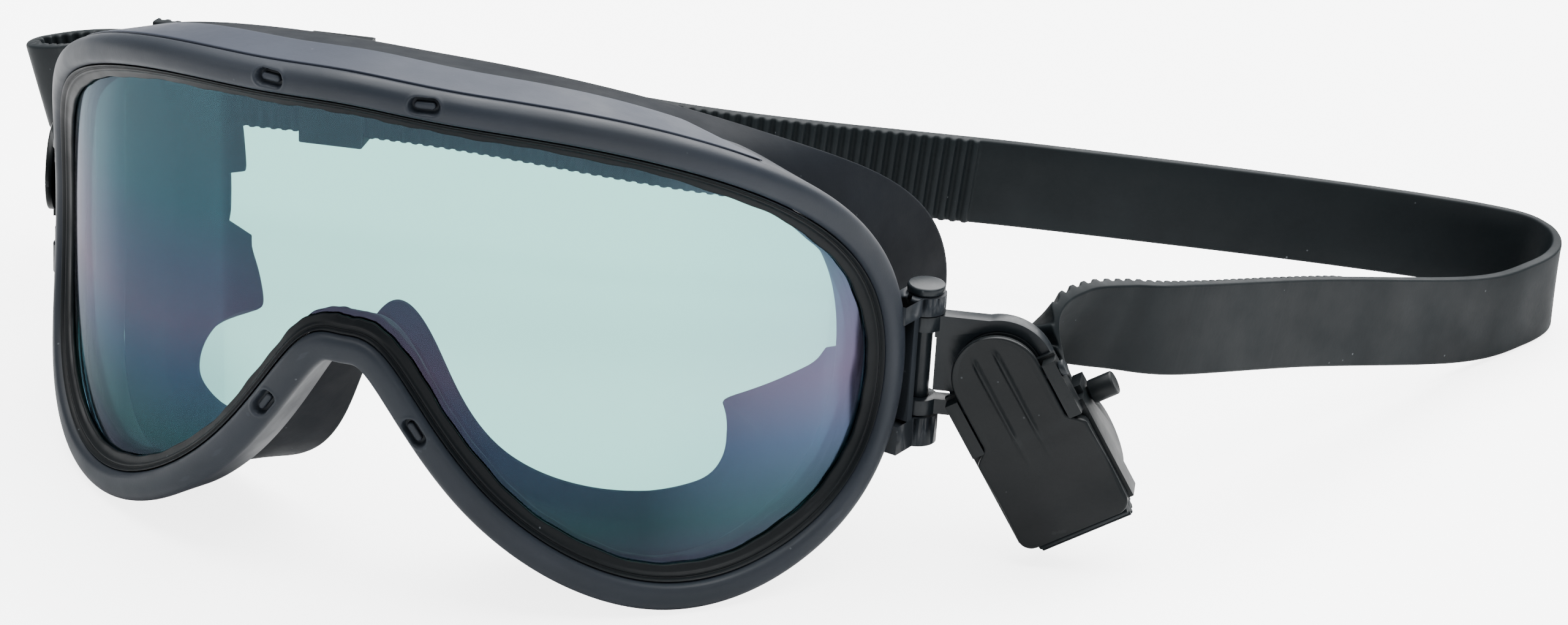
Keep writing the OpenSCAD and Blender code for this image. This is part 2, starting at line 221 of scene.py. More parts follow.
pale_floor = plain_material("pale_floor", FLOOR_SHADE, 0.9)
rays = pale_floor.node_tree.nodes.new("ShaderNodeLightPath")
glow = pale_floor.node_tree.nodes.new("ShaderNodeMath")
glow.operation = "MULTIPLY"
glow.inputs[1].default_value = FLOOR_GLOW
pale_floor.node_tree.links.new(rays.outputs["Is Camera Ray"], glow.inputs[0])
floor_shader = pale_floor.node_tree.nodes["Principled BSDF"]
floor_shader.inputs["Emission Color"].default_value = (1, 1, 1, 1)
pale_floor.node_tree.links.new(glow.outputs[0], floor_shader.inputs["Emission Strength"])
floor.data.materials.append(pale_floor)
world = bpy.data.worlds.new("tent")
world.use_nodes = True
world.node_tree.nodes["Background"].inputs["Color"].default_value = (0.93, 0.96, 1.0, 1)
world.node_tree.nodes["Background"].inputs["Strength"].default_value = 0.45
bpy.context.scene.world = world


def soft_light(name, place, aim, size, watts):
    """A square area light in metres, turned so that its back axis points from aim to its place."""
    data = bpy.data.lights.new(name, "AREA")
    data.size, data.energy = size, watts
    lamp = bpy.data.objects.new(name, data)
    bpy.context.scene.collection.objects.link(lamp)
    out = unit(np.array(place, float) - np.array(aim, float))
    side = unit(np.cross([0.0, 0.05, 1.0], out))
    tall = np.cross(out, side)
    lamp.matrix_world = (Matrix.Translation(place)
                         @ Matrix([[side[k], tall[k], out[k]] for k in range(3)]).to_4x4())
    return lamp


soft_light("top_light", (0.0, 0.5, 1.5), (0, 0.45, 0.0), 2.2, 110)
soft_light("back_light", (0.3, 2.6, 1.5), (0.2, 1.6, 0.0), 2.4, 110)
soft_light("left_light", (-1.3, -0.9, 0.8), (0, 0, 0.03), 0.9, 7)
soft_light("right_light", (1.2, -0.9, 0.7), (0, 0, 0.03), 0.8, 5)

# %% [markdown]
# ## Finishes
# Everything but the lens is dark moulded plastic or rubber. A flat dark colour would look like a
# drawing, so each finish mixes two near shades in soft clouds, varies its gloss, carries a fine
# grain from the mould as a bump, and has a few light specks of dust. The pattern sizes are real:
# noise scale 1000 on object coordinates in metres is a pattern of about one millimetre.

# %% Material helper
class Finish:
    """A small builder round a node tree, so that each finish reads as a recipe."""

    def __init__(self, name):
        self.material = bpy.data.materials.new(name)
        self.material.use_nodes = True
        self.tree = self.material.node_tree
        self.shader = self.tree.nodes["Principled BSDF"]
        self.coords = self.add("ShaderNodeTexCoord").outputs["Object"]

    def add(self, kind, **settings):
        node = self.tree.nodes.new(kind)
        for key, value in settings.items():
            if key[0].isupper():
                node.inputs[key.replace("_", " ")].default_value = value
            else:
                setattr(node, key, value)
        return node

    def link(self, source, target):
        self.tree.links.new(source, target)

    def noise(self, scale, detail=3.0, roughness=0.5):
        """Cloud noise on object coordinates."""
        node = self.add("ShaderNodeTexNoise", Scale=scale, Detail=detail, Roughness=roughness)
        self.link(self.coords, node.inputs["Vector"])
        return node.outputs["Fac"]

    def range(self, value, low, high, to_low, to_high):
        node = self.add("ShaderNodeMapRange")
        for key, number in zip(("From Min", "From Max", "To Min", "To Max"), (low, high, to_low, to_high)):
            node.inputs[key].default_value = number
        self.link(value, node.inputs["Value"])
        return node.outputs["Result"]

    def mix(self, factor, a, b):
        """A colour mix; a and b are colours or sockets."""
        node = self.add("ShaderNodeMix", data_type="RGBA")
        self.link(factor, node.inputs[0])
        for slot, value in ((6, a), (7, b)):
            if isinstance(value, tuple):
                node.inputs[slot].default_value = (*value, 1)
            else:
                self.link(value, node.inputs[slot])
        return node.outputs[2]

    def bump(self, height, distance, strength, before=None):
        node = self.add("ShaderNodeBump", Distance=distance, Strength=strength)
        self.link(height, node.inputs["Height"])
        if before:
            self.link(before, node.inputs["Normal"])
        return node.outputs["Normal"]


def moulded(name, color, shade, roughness, grain=2600.0, grain_depth=0.00004, specks=0.012,
            spread=0.08, gloss=0.25):
    """Moulded plastic or rubber: two shades in clouds, uneven gloss, mould grain and dust specks."""
    f = Finish(name)
    clouds = f.range(f.noise(55.0, 4.0), 0.35, 0.65, 0.0, 1.0)
    base = f.mix(clouds, color, shade)
    wear = f.range(f.add("ShaderNodeNewGeometry").outputs["Pointiness"], 0.52, 0.60, 0.0, 0.35)
    worn = tuple(min(1.0, 1.7 * c + 0.006) for c in color)
    base = f.mix(wear, base, worn)
    dots = f.add("ShaderNodeTexVoronoi", Scale=330.0)
    f.link(f.coords, dots.inputs["Vector"])
    dust = f.range(dots.outputs["Distance"], 0.035, 0.075, 1.0, 0.0)
    rare = f.range(f.noise(120.0, 1.0), 0.56, 0.62, 0.0, 1.0)
    both = f.add("ShaderNodeMath", operation="MULTIPLY")
    f.link(dust, both.inputs[0])
    f.link(rare, both.inputs[1])
    dusty = f.range(both.outputs[0], 0.0, 1.0, 0.0, min(1.0, specks * 40))
    f.link(f.mix(dusty, base, (0.12, 0.13, 0.14)), f.shader.inputs["Base Color"])
    f.link(f.range(f.noise(90.0, 5.0, 0.6), 0.3, 0.7, roughness - spread, roughness + spread),
           f.shader.inputs["Roughness"])
    fine = f.bump(f.noise(grain, 2.0, 0.6), grain_depth, 0.35)
    f.link(f.bump(f.noise(160.0, 3.0), 0.00025, 0.12, fine), f.shader.inputs["Normal"])
    f.shader.inputs["Specular IOR Level"].default_value = gloss
    return f.material


frame_plastic = moulded("frame_plastic", (0.012, 0.0155, 0.021), (0.015, 0.019, 0.026), 0.47, gloss=0.2)
cover_plastic = moulded("cover_plastic", (0.020, 0.025, 0.038), (0.025, 0.031, 0.046), 0.50, gloss=0.2)
seal_rubber = moulded("seal_rubber", (0.0032, 0.0042, 0.0052), (0.0045, 0.006, 0.007), 0.45, gloss=0.12)
skirt_rubber = moulded("skirt_rubber", (0.0050, 0.0066, 0.0092), (0.0068, 0.0088, 0.012), 0.62, gloss=0.06)
strap_rubber = moulded("strap_rubber", (0.0050, 0.0072, 0.0085), (0.0068, 0.0095, 0.011), 0.55,
                       grain=1500.0, specks=0.02, gloss=0.10)
buckle_plastic = moulded("buckle_plastic", (0.0035, 0.0047, 0.0055), (0.005, 0.0066, 0.0075), 0.36,
                         specks=0.008, gloss=0.15)
bracket_plastic = moulded("bracket_plastic", (0.008, 0.0105, 0.0135), (0.011, 0.014, 0.018), 0.44, gloss=0.2)
pin_plastic = moulded("pin_plastic", (0.006, 0.0082, 0.0105), (0.009, 0.012, 0.0145), 0.34, specks=0.008,
                      gloss=0.2)
foam = moulded("vent_foam", (0.006, 0.006, 0.007), (0.015, 0.015, 0.016), 0.9, grain=900.0,
               grain_depth=0.0004)

# %% [markdown]
# ## The wrapped front
# The front of the goggles is a flat outline bent round an upright cylinder, as a lens cut from flat
# sheet is. So each point is worked out flat, as a length along the wrap and a height, and then
# carried onto the cylinder. The outline is a smooth closed spline, mirrored about the nose.

# %% Outline of the lens opening
WRAP_R = 80.0
half_outline = np.array([[0, 78.2], [14.5, 76.8], [40.5, 75], [74.5, 63], [96.5, 42], [95.5, 16],
                         [78.5, 3], [52, -3.5], [22, 14], [7, 41], [0, 39]], float)
half_face = np.array([[0, 34, 75.6], [15, 34.5, 75.6], [38, 37.5, 73.2], [59, 49, 65.3], [71.5, 82, 48],
                      [73, 94, 20], [60, 58, 0], [40, 38, -3.5], [13, 30, 2], [6, 25, 26],
                      [0, 24, 33]], float)


def whole(half):
    """A half outline and its mirror image, without repeating the two points on the middle."""
    return np.concatenate([half, half[-2:0:-1] * np.array([-1, 1, 1][:half.shape[1]])])


outline, face_line = whole(half_outline), whole(half_face)
SPANS = len(outline)


def wrapped(s, z, out):
    """Arc length s, height z and distance in front of the face, carried onto the cylinder."""
    angle, r = s / WRAP_R, WRAP_R + out
    return np.stack([r * np.sin(angle), WRAP_R - r * np.cos(angle), z + 0 * angle], -1)


def rim_at(t):
    """Flat outline point and its outward normal at parameter t."""
    point = spline(outline, t)
    tangent = unit(spline(outline, (t + 0.01) % SPANS) - spline(outline, (t - 0.01) % SPANS))
    return point, np.stack([-tangent[:, 1], tangent[:, 0]], -1)


def band_width(z):
    """Width of the frame's band, a little different over the brow."""
    return 5.0 + (4.7 - 5.0) * np.clip((z - 45) / 20, 0, 1)


def around(t, across, out, scaled=False):
    """Rings of points: at each t, a profile set off outwards by across and forwards by out."""
    point, normal = rim_at(t)
    width = across[None] * (band_width(point[:, 1])[:, None] if scaled else 1)
    flat = point[:, None] + normal[:, None] * width[..., None]
    return flat[..., 0], flat[..., 1], np.broadcast_to(out, width.shape).copy()


# %% [markdown]
# ## The front frame
# The frame is a thick rounded bead of matte plastic. Four small round-ended pockets in its face
# hold the clips that keep the lens in. Instead of cutting the pockets with a boolean, which leaves
# long thin faces, the grid gets closer together round each pocket and its points sink in smoothly.

# %% Front frame
clip_places = [(12.9, 79.6, 0.0), (-12.9, 79.6, 0.0), (12.9, 25.7, -55.0), (-12.9, 25.7, 55.0)]


def close_stations(coarse, fine, reach):
    """Parameters round the outline: steps of coarse mm, and of fine mm within reach of a clip."""
    t = np.linspace(0, SPANS, 8001)
    point, normal = rim_at(t[:-1])
    point = point + normal * 2.4
    step = np.linalg.norm(np.roll(point, -1, 0) - point, axis=1)
    near = np.min([np.hypot(point[:, 0] - c[0], point[:, 1] - c[1]) for c in clip_places], 0)
    blend = np.clip((near - reach) / 2.0, 0, 1)
    density = step / (fine + (coarse - fine) * blend)
    total = np.concatenate([[0], np.cumsum(density)])
    count = int(total[-1])
    return np.interp(np.arange(count) * total[-1] / count, total, t)


def pocket(s, z, place, length, width):
    """Distance from the edge of a round-ended bar laid at place, negative inside."""
    a = math.radians(place[2])
    u = (s - place[0]) * math.cos(a) + (z - place[1]) * math.sin(a)
    v = -(s - place[0]) * math.sin(a) + (z - place[1]) * math.cos(a)
    return np.hypot(np.maximum(np.abs(u) - (length - width) / 2, 0), v) - width / 2


BROW_HALF, COVER_SEAT, COVER_PROUD, COVER_CUT, FRAME_DEPTH = 66.0, 0.9, 0.3, 12.0, 12.0


def end_share(s):
    """One along the brow cover, falling to nothing over the slanted cut at each end."""
    return np.clip((BROW_HALF - np.abs(s)) / COVER_CUT, 0, 1)


def seat_depth(point):
    """Depth of the seat in the frame's top that the brow cover lies in."""
    return np.where(point[:, 1] > 50, COVER_SEAT * end_share(point[:, 0]), 0)


t_close = close_stations(0.9, 0.16, 4.0)
front_line = np.array([[0, -1.6], [0.03, -0.9], [0.12, -0.25], [0.35, 0.05], [0.68, -0.1], [0.88, -0.8],
                       [0.975, -1.7], [1.0, -2.45]])
front_face = spline(front_line, np.linspace(0, len(front_line) - 1.001, 52), closed=False)
back_line = np.array([[1.0, -2.75], [1.0, -2.8], [1.0, -8.0], [1.0, -11.4], [0.97, -11.9], [0.9, -12.0],
                      [0.1, -12.0], [0.03, -11.9], [0, -11.4], [0, -7.0], [0, -3.2]])
profile = np.concatenate([front_face, back_line])
point, normal = rim_at(t_close)
across = profile[None, :, 0] * band_width(point[:, 1])[:, None]
across = across - seat_depth(point)[:, None] * ((profile[:, 0] > 0.5) & (profile[:, 1] < -2.77))
flat = point[:, None] + normal[:, None] * across[..., None]
s, z, out = flat[..., 0], flat[..., 1], np.broadcast_to(profile[:, 1], across.shape).copy()
for place in clip_places:
    edge = pocket(s, z, place, 4.8, 2.4)
    sink = smooth_step(0.2 - edge, 0, 0.4)
    rim_lip = 0.1 * np.exp(-((edge - 0.45) / 0.22) ** 2)
    out += np.where(out > -2.6, rim_lip - 1.45 * sink, 0)
front = swept("goggle_frame", wrapped(s, z, out))
front.data.materials.append(frame_plastic)
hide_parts("front_frame")
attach(front, "root")
print("front frame:", len(front.data.polygons), "faces")

# %% Lens clips
def stadium(length, width, count=40):
    """Points round a round-ended bar: each lies on a half circle about the nearer end."""
    angle = np.arange(count) / count * 2 * math.pi + math.pi / count
    centre = np.sign(np.cos(angle)) * (length - width) / 2
    return np.stack([centre + width / 2 * np.cos(angle), width / 2 * np.sin(angle)], -1)


clip_rings, clip_faces = [], []
rise = np.array([[1.0, -1.8], [1.0, -0.95], [0.9, -0.78], [0.75, -0.7], [0.4, -0.66], [0.02, -0.65]])
for place in clip_places:
    a = math.radians(place[2])
    shape = stadium(3.4, 1.1)
    rings = []
    for inset, level in rise:
        u, v = (shape * np.array([1 - 0.42 * (1 - inset), inset])).T
        s = place[0] + u * math.cos(a) - v * math.sin(a)
        z = place[1] + u * math.sin(a) + v * math.cos(a)
        rings.append(wrapped(s, z, np.full_like(s, level)))
    first = sum(len(r) for r in clip_rings)
    rings = np.array(rings)
    points = rings.reshape(-1, 3)
    faces = facing_out(points, tube_faces(*rings.shape[:2], False))
    clip_rings.append(points)
    clip_faces += [tuple(i + first for i in f) for f in faces]
clips = mesh_piece("lens_snap_clips", np.concatenate(clip_rings), clip_faces)
clips.data.materials.append(frame_plastic)
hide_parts("lens_clips")
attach(clips, "root")
print("lens clips:", len(clip_places))

# %% [markdown]
# ## The brow cover and its filter
# Over the brow a separate low cover lies in a shallow seat in the frame, with a foam filter under
# it. Its two ends are cut slanting: the back edge stops first, and the front edge runs on.

# %% Brow cover
t_even = np.linspace(0, SPANS, 641)[:-1]


def brow_stations(step):
    """Parameters over the brow, left to right, where the outline is above the eyes."""
    t = np.arange(-6.0, 6.0, step)
    point, _ = rim_at(t % SPANS)
    keep = (point[:, 1] > 50) & (np.abs(point[:, 0]) < BROW_HALF - 0.2)
    return t[keep] % SPANS


def brow_sweep(name, profile, step=0.03):
    """A profile of share of the cover's thickness and distance in front, carried along the brow."""
    point, normal = rim_at(brow_stations(step))
    share, seat = end_share(point[:, 0])[:, None], seat_depth(point)[:, None]
    across = band_width(point[:, 1])[:, None] - seat + 0.05 + profile[:, 0] * (seat + COVER_PROUD - 0.05)
    out = np.maximum(profile[:, 1], -4.5 - (FRAME_DEPTH - 3) * share)
    flat = point[:, None] + normal[:, None] * across[..., None]
    return swept(name, wrapped(flat[..., 0], flat[..., 1], out), False)


cover_line = [[0, -3.2], [0.5, -3.1], [0.86, -3.06], [0.97, -3.16], [1.0, -3.4], [1.0, -4.2], [1.0, -8],
              [1.0, -12], [0.97, -12.4], [0.9, -12.5], [0.5, -12.5], [0.5, -12.5], [0.5, -8],
              [0.5, -4.2], [0.5, -4.2], [0, -4.2], [0, -4.2]]
cover = brow_sweep("brow_vent_cover", rounded(cover_line, 4))
cover.data.materials.append(cover_plastic)
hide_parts("brow_cover")
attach(cover, "root")
filter_strip = brow_sweep("vent_filter_strip", np.array([[0.06, -4.4], [0.4, -4.4], [0.4, -11], [0.06, -11]]))
filter_strip.data.materials.append(foam)
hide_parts("vent_filter")
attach(filter_strip, "root")

# %% [markdown]
# ## The lens gasket
# Between the frame and the lens is a black rubber channel with two fine ridges. Its free edge
# wanders a little.

# %% Lens gasket
LENS_SET, LENS_T, LENS_LAP = 3.7, 2.0, 2.4
gasket_line = [[-0.1, -1.3], [-0.3, -1.3], [-0.55, -1.8], [-0.62, -2.2], [-0.85, -2.0], [-1.12, -2.1],
               [-1.25, -2.5], [-1.7, -2.8], [-2.2, -3.0], [-LENS_LAP, -3.15], [-LENS_LAP, -3.6],
               [-2.1, -3.66], [-1.3, -3.66], [-0.9, -3.66], [-0.9, -5.74], [-1.3, -5.74],
               [-LENS_LAP, -5.75], [-LENS_LAP, -7.1], [-1.2, -7.1], [-0.1, -7.1], [-0.1, -4.5]]
line = rounded(gasket_line, 4)
s, z, out = around(t_even, line[:, 0], line[:, 1])
wander = 0.10 * np.sin(t_even * 9.1) + 0.07 * np.sin(t_even * 23.7 + 1.0)
point, normal = rim_at(t_even)
share = np.clip((-line[:, 0] - 1.6) / 0.8, 0, 1)
s += normal[:, :1] * wander[:, None] * share
z += normal[:, 1:] * wander[:, None] * share
gasket = swept("lens_gasket_ring", wrapped(s, z, out))
gasket.data.materials.append(seal_rubber)
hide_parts("lens_gasket")
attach(gasket, "root")

# %% [markdown]
# ## The lens
# The lens is one sheet 2 mm thick. Columns join each point of the upper edge to its partner on the
# lower edge, so the grid bends only along the wrap. A thin mirror coating gives it blue, violet
# and green reflections; where it curves away, painted sheen makes the coat stronger by position.

# %% Lens
def lens_columns(count, rows):
    """Front grid of the lens, from its left tip to its right tip, as flat points."""
    k = np.linspace(-SPANS / 4 + 0.12, SPANS / 4 - 0.12, count)
    def edge(t):
        point, normal = rim_at(t % SPANS)
        return point - 0.95 * normal
    high, low = edge(k), edge(SPANS / 2 - k)
    r = np.linspace(0, 1, rows)[None, :, None]
    return high[:, None] * (1 - r) + low[:, None] * r


flat = lens_columns(220, 40)
front_side = wrapped(flat[..., 0], flat[..., 1], np.full(flat.shape[:2], -LENS_SET))
back_side = wrapped(flat[..., 0], flat[..., 1], np.full(flat.shape[:2], -LENS_SET - LENS_T))
lens = swept("tinted_lens", np.concatenate([front_side, back_side[:, ::-1]], 1), False)


def coated_lens_with_painted_sheen():
    """Clear tint with a thin coloured mirror coat, made stronger and bluer round the wrap as painted sheen."""
    f = Finish("coated_lens_with_painted_sheen")
    split = f.add("ShaderNodeSeparateXYZ")
    f.link(f.coords, split.inputs[0])
    height = f.range(split.outputs["Z"], middle[2] * MM, (middle[2] + 76) * MM, 0.0, 1.0)
    sway = f.add("ShaderNodeMath", operation="MULTIPLY_ADD")
    f.link(f.noise(18.0, 2.0), sway.inputs[0])
    sway.inputs[1].default_value = 0.22
    f.link(height, sway.inputs[2])
    ramp = f.add("ShaderNodeValToRGB")
    stops = [(0.10, (0.36, 0.30, 0.50)), (0.24, (0.20, 0.36, 0.44)), (0.40, (0.24, 0.32, 0.54)),
             (0.54, (0.40, 0.33, 0.54)), (0.68, (0.32, 0.34, 0.54)), (0.82, (0.24, 0.40, 0.54)),
             (0.98, (0.28, 0.40, 0.52))]
    while len(ramp.color_ramp.elements) < len(stops):
        ramp.color_ramp.elements.new(0.5)
    for element, (position, color) in zip(ramp.color_ramp.elements, stops):
        element.position, element.color = position, (*color, 1)
    f.link(sway.outputs[0], ramp.inputs["Fac"])
    coat = f.shader
    f.link(ramp.outputs["Color"], coat.inputs["Base Color"])
    coat.inputs["Metallic"].default_value = 1.0
    coat.inputs["Roughness"].default_value = 0.09
    clear = f.add("ShaderNodeBsdfTransparent")
    clear.inputs["Color"].default_value = (0.34, 0.51, 0.48, 1)
    side = f.add("ShaderNodeMath", operation="ABSOLUTE")
    shifted = f.add("ShaderNodeMath", operation="SUBTRACT")
    f.link(split.outputs["X"], shifted.inputs[0])
    shifted.inputs[1].default_value = middle[0] * MM
    f.link(shifted.outputs[0], side.inputs[0])
    # Painted sheen: the coat's share rises with distance from the nose, by position, for the grazing view.
    wrap = f.range(side.outputs[0], 0.045, 0.074, 0.055, 0.20)
    facing = f.add("ShaderNodeLayerWeight", Blend=0.25)
    fresnel_and_painted_sheen = f.add("ShaderNodeMath", operation="MULTIPLY_ADD")
    f.link(facing.outputs["Fresnel"], fresnel_and_painted_sheen.inputs[0])
    fresnel_and_painted_sheen.inputs[1].default_value = 0.16
    f.link(wrap, fresnel_and_painted_sheen.inputs[2])
    both = f.add("ShaderNodeMixShader")
    f.link(fresnel_and_painted_sheen.outputs[0], both.inputs[0])
    f.link(clear.outputs[0], both.inputs[1])
    f.link(coat.outputs[0], both.inputs[2])
    f.link(both.outputs[0], f.tree.nodes["Material Output"].inputs["Surface"])
    return f.material


lens.data.materials.append(coated_lens_with_painted_sheen())
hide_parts("lens")
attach(lens, "root")

# %% [markdown]
# ## The face skirt
# A soft wall runs from the back of the frame to the face and turns in as a lip that lies on the
# skin. Each station round the opening has a section with six main points, from the frame to the
# lip and back, softened by a spline.

# %% Face skirt
SKIRT_T, SKIRT_BACK = 2.0, -12.05
GATE_LOW, GATE_HIGH, GATE_FADE = 16.5, 26, 0.8


def temple_gate(edge):
    """One where the strap's hinge sits behind the temple wall, between two heights, else nothing."""
    low = np.clip((edge[:, 2] - GATE_LOW) / GATE_FADE, 0, 1)
    high = np.clip((GATE_HIGH - edge[:, 2]) / GATE_FADE, 0, 1)
    return low * high * (np.abs(edge[:, 0]) > 50)


def temple_pad(edge):
    """Extra width of the lip low on the temple, in mm, against height; none towards the nose."""
    heights, widths = [-7, -3, 0, 4, 9, 15, 16.8, 17.6], [0, 3, 9, 9.5, 6, 2, 1.5, 0]
    return np.interp(edge[:, 2], heights, widths) * smooth_step(np.abs(edge[:, 0]), 46, 62)


def skirt_rings(t):
    """Sections of the skirt; the lip turns in towards the eye on its side."""
    point, normal = rim_at(t)
    b0 = wrapped(*(point + normal * 0.6).T, np.full(len(t), SKIRT_BACK))
    b1 = wrapped(*(point + normal * 2.6).T, np.full(len(t), SKIRT_BACK))
    edge = spline(face_line, t)
    aside = np.clip((np.abs(edge[:, 0]) - 45) / 15, 0, 1)
    eye_z = 36 + aside * (np.clip(edge[:, 2], 14, 50) - 36)
    inward = unit(np.stack([np.clip(edge[:, 0], -38, 38), edge[:, 1], eye_z], -1) - edge)
    gate = temple_gate(edge)
    lip = 6 + 9 * np.minimum(1, np.abs(edge[:, 0]) / 70) ** 4 - 3.0 * gate + temple_pad(edge)
    back = np.array([0.0, 1.0, 0.0])

    def on_face(inside, behind):
        return edge + inward * np.reshape(inside, (-1, 1)) + back * behind

    turn = on_face(SKIRT_T, -SKIRT_T)
    front_tip, back_tip = on_face(lip, -0.3), on_face(lip, 0.5)
    sections = [b0, b0, b0 * 0.8 + turn * 0.2, (b0 + turn) / 2, b0 * 0.15 + turn * 0.85, turn,
                turn * 0.6 + front_tip * 0.4, front_tip, front_tip, back_tip, back_tip,
                back_tip * 0.5 + edge * 0.5, edge, edge, b1 * 0.15 + edge * 0.85, (b1 + edge) / 2,
                b1 * 0.8 + edge * 0.2, b1, b1]
    stack = np.stack(sections, 1)
    u = np.arange(len(sections) * 3) / 3
    i, g = np.floor(u).astype(int), (u % 1)[None, :, None]
    a, b, c, d = (stack[:, (i + k) % len(sections)] for k in (-1, 0, 1, 2))
    return (a * (1 - g) ** 3 + b * (3 * g ** 3 - 6 * g ** 2 + 4)
            + c * (-3 * g ** 3 + 3 * g ** 2 + 3 * g + 1) + d * g ** 3) / 6


skirt = swept("face_seal_skirt", skirt_rings(t_even))
skirt.data.materials.append(skirt_rubber)
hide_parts("face_skirt")
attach(skirt, "root")
print("skirt:", len(skirt.data.polygons), "faces")

# %% [markdown]
# ## Hinges and buckles
# These are small machined-looking mouldings that turn on pins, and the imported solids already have
# the right bores and clearances. A copy of each is merged, its flat faces are joined, and a narrow
# bevel rounds its edges as a mould does, so that the edges catch the light.

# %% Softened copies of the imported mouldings
def softened(node, name, width, material, segments=3):
    """A merged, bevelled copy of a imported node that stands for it."""
    source = frame["nodes"][node]
    mesh = source.data.copy()
    mesh.materials.clear()
    work = bmesh.new()
    work.from_mesh(mesh)
    bmesh.ops.remove_doubles(work, verts=work.verts, dist=1e-6)
    bmesh.ops.dissolve_limit(work, angle_limit=math.radians(1.0), verts=work.verts, edges=work.edges)
    work.to_mesh(mesh)
    work.free()
    piece = bpy.data.objects.new(name, mesh)
    bpy.context.scene.collection.objects.link(piece)
    bevel = piece.modifiers.new("edge", "BEVEL")
    bevel.width, bevel.segments = width * MM, segments
    bevel.limit_method, bevel.angle_limit = "ANGLE", math.radians(35)
    bevel.use_clamp_overlap = True
    bevel.harden_normals = True
    mesh.materials.append(material)
    mesh.polygons.foreach_set("use_smooth", np.ones(len(mesh.polygons), bool))
    body = next(b for b, members in frame["record"]["behaviour"]["bodies"].items() if node in members)
    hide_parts(node)
    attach(piece, body)
    return piece


for side in ("right", "left"):
    softened(f"hinge_bracket_{side}", f"bracket_{side}", 0.9, bracket_plastic)
    softened(f"hinge_pin_{side}", f"pin_{side}", 0.35, pin_plastic)
    softened(f"link_{side}", f"ring_link_{side}", 0.6, pin_plastic)
    softened(f"buckle_base_{side}", f"buckle_plate_{side}", 0.3, buckle_plastic)
    softened(f"swivel_cap_{side}", f"hub_cap_{side}", 0.3, buckle_plastic)
    softened(f"lever_pin_{side}", f"lever_axle_{side}", 0.2, pin_plastic)
    softened(f"roller_{side}", f"strap_roller_{side}", 0.9, buckle_plastic)
softened("strap_keeper", "keeper_loop", 0.4, buckle_plastic)

# %% [markdown]
# ## The clamping levers
# Each lever is a thin plate with a round top and a wider, hollowed lower half with rounded
# corners. Two ribs run down its face and taper away, and a groove behind takes its axle. It is
# made as sections across the plate, carried along it from the top to the lower edge.

# %% Levers
LEVER_L, LEVER_HALF, DOME_R, DOME_X, CORNER_R = 29.0, 9.8, 7.3, -0.4, 2.2
AXLE_X, AXLE_Y, AXLE_R, RIB_AT = 2.6, -4.0, 0.85, 1.9


def lever_rings():
    """Sections of the lever in the buckle's frame: x along it, y towards the strap, z across."""
    turn = np.linspace(0, math.pi / 2, 16)
    dome = DOME_X - DOME_R * np.cos(turn[1:])
    groove = AXLE_X + AXLE_R * np.sin(np.linspace(-math.pi / 2, math.pi / 2, 13))
    x = np.concatenate([dome, np.arange(0, AXLE_X - AXLE_R, 0.4), [AXLE_X - AXLE_R - 0.02], groove,
                        [AXLE_X + AXLE_R + 0.02], np.arange(4, LEVER_L - CORNER_R, 0.5),
                        LEVER_L - CORNER_R + CORNER_R * np.sin(turn[:-1])])
    half = np.sqrt(np.maximum(DOME_R ** 2 - np.minimum(x - DOME_X, 0) ** 2, 0.01))
    half = half + (LEVER_HALF - DOME_R) * smooth_step(x, 9.5, 12.5)
    into = np.maximum(x - (LEVER_L - CORNER_R), 0)
    half = half - CORNER_R + np.sqrt(np.maximum(CORNER_R ** 2 - into ** 2, 0))
    w = np.sin(np.linspace(-1, 1, 91) * math.pi / 2 * 0.93) / math.sin(math.pi / 2 * 0.93)
    z = half[:, None] * w[None]
    near_edge = np.clip(1 - (half[:, None] - np.abs(z)) / 0.6, 0, 1)
    dip = 0.75 * np.sin(math.pi * np.clip((x - 13) / (LEVER_L - 13), 0, 1)) ** 2
    fade = smooth_step(x, -5.5, -3) * (1 - smooth_step(x, 8, 17))
    width = 0.42 - 0.012 * np.maximum(x, 0)
    ribs = np.exp(-((np.abs(z) - RIB_AT) / width[:, None]) ** 4) * fade[:, None] * 0.5
    dome_share = (1 - smooth_step(x, 8, 11))[:, None]
    border = 0.25 * np.clip(1 - (half[:, None] - np.abs(z)) / 1.3, 0, 1) * dome_share
    front = -5.35 + dip[:, None] + 0.3 * smooth_step(x, 9.5, 12.5)[:, None] - ribs - border
    front = front + 0.45 * (1 - np.sqrt(1 - near_edge ** 2))
    behind = np.where(x < 1.2, -4.4, -3.0)
    in_groove = np.abs(x - AXLE_X) <= AXLE_R + 1e-6
    behind = np.where(in_groove, AXLE_Y - np.sqrt(np.maximum(AXLE_R ** 2 - (x - AXLE_X) ** 2, 0)), behind)
    w_back = w[::-2]
    back = np.repeat(behind[:, None], len(w_back), 1)
    top = np.stack([np.repeat(x[:, None], len(w), 1), front, z], -1)
    under = np.stack([np.repeat(x[:, None], len(w_back), 1), back, half[:, None] * w_back[None]], -1)
    return np.concatenate([top, under], 1)


def buckle_to_goggles(points, side):
    """Buckle coordinates carried onto the goggles: tilt about the swivel, then turn about the pin."""
    axis = unit(np.array(joints[f"roller_spin_{side}"]["axis"], float))
    swivel = np.array(joints[f"buckle_swivel_{side}"]["pos_m"]) / MM - middle
    hinge = np.array([PIN_X if side == "right" else -PIN_X, PIN_Y, RING_Z])
    arm = unit((swivel - hinge) * np.array([1, 1, 0]))
    depth = np.array([-arm[1], arm[0], 0]) * (1 if side == "right" else -1)
    along = np.cross(depth, axis) * (1 if side == "right" else -1)
    return swivel + points @ np.stack([along, depth, axis])


for side in ("right", "left"):
    lever = swept(f"clamp_lever_{side}", buckle_to_goggles(lever_rings(), side), False)
    lever.data.materials.append(buckle_plastic)
    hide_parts(f"lever_{side}")
    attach(lever, f"lever_{side}")
